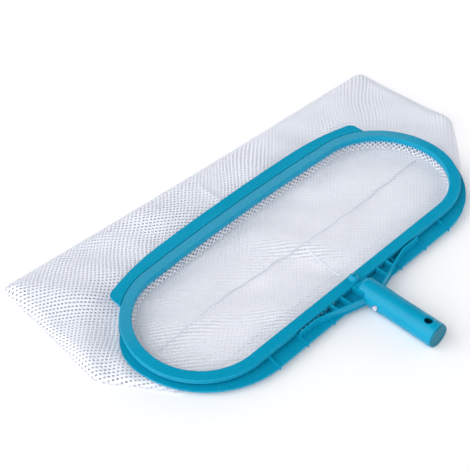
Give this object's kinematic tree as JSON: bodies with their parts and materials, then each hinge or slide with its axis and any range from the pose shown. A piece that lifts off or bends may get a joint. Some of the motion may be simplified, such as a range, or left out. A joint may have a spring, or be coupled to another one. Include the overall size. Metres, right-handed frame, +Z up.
{
  "type": "leaf skimmer net",
  "caption": "Flat moulded pool skimmer head with a leading lip, a clamped net bag lying under it and a handle spigot with snap buttons.",
  "frame": {"origin": "on the floor, on the handle's centre plane, below the middle of the net's mouth", "axes": "+Z up, +Y towards the leading lip, -Y along the handle, X across the mouth"},
  "size_m": [0.593, 0.391, 0.0286],
  "materials": {
    "head_plastic": "satin moulded polypropylene",
    "plug_plastic": "dark satin plastic",
    "button_plastic": "white nylon",
    "netting": "white open polyester mesh",
    "binding": "white sewn seam"
  },
  "bodies": {
    "head": {"frame": "head_plastic", "clamp_ring": "head_plastic", "clamp_screw": "head_plastic", "end_plug": "plug_plastic", "spring_bend": "button_plastic", "net_hem": "binding", "net_near_wall": "netting", "net_under_layer": "netting", "net_upper_layer": "netting", "bottom_seam_binding": "binding", "centre_seam_binding": "binding"},
    "left_catch": {"left_button": "button_plastic", "left_spring_leg": "button_plastic"},
    "right_catch": {"right_button": "button_plastic", "right_spring_leg": "button_plastic"}
  },
  "joints": [
    {"name": "left_button_press", "type": "slide", "parent": "head", "child": "left_catch", "axis": [1, 0, 0], "range_m": [0, 0.0035], "stiffness_N_per_m": 1200, "springref_m": -0.002},
    {"name": "right_button_press", "type": "slide", "parent": "head", "child": "right_catch", "axis": [-1, 0, 0], "range_m": [0, 0.0035], "stiffness_N_per_m": 1200, "springref_m": -0.002}
  ]
}
